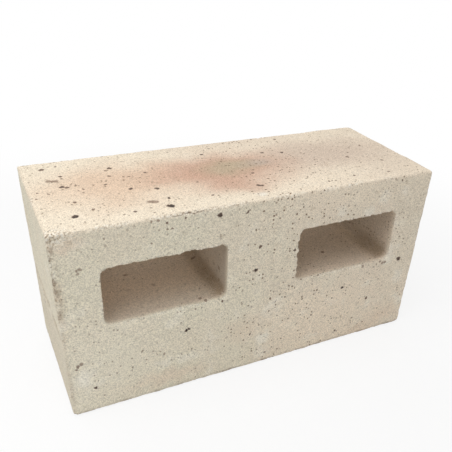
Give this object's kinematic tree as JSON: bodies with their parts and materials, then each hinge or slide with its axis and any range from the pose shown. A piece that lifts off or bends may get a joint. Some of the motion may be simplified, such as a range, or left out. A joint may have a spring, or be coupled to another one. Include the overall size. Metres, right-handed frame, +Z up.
{
  "type": "cored clay brick",
  "caption": "Pale fired clay brick lying on its side, with rectangular cores right through it from one bed face to the other, eased arrises and iron specks.",
  "frame": {"origin": "middle of the long side that the brick rests on", "axes": "+X along the brick's length, +Y through the cores away from the front bed face, +Z up"},
  "size_m": [0.23, 0.09, 0.115],
  "materials": {
    "fired_clay": "matte"
  },
  "bodies": {
    "root": {"brick": "fired_clay"}
  },
  "joints": []
}
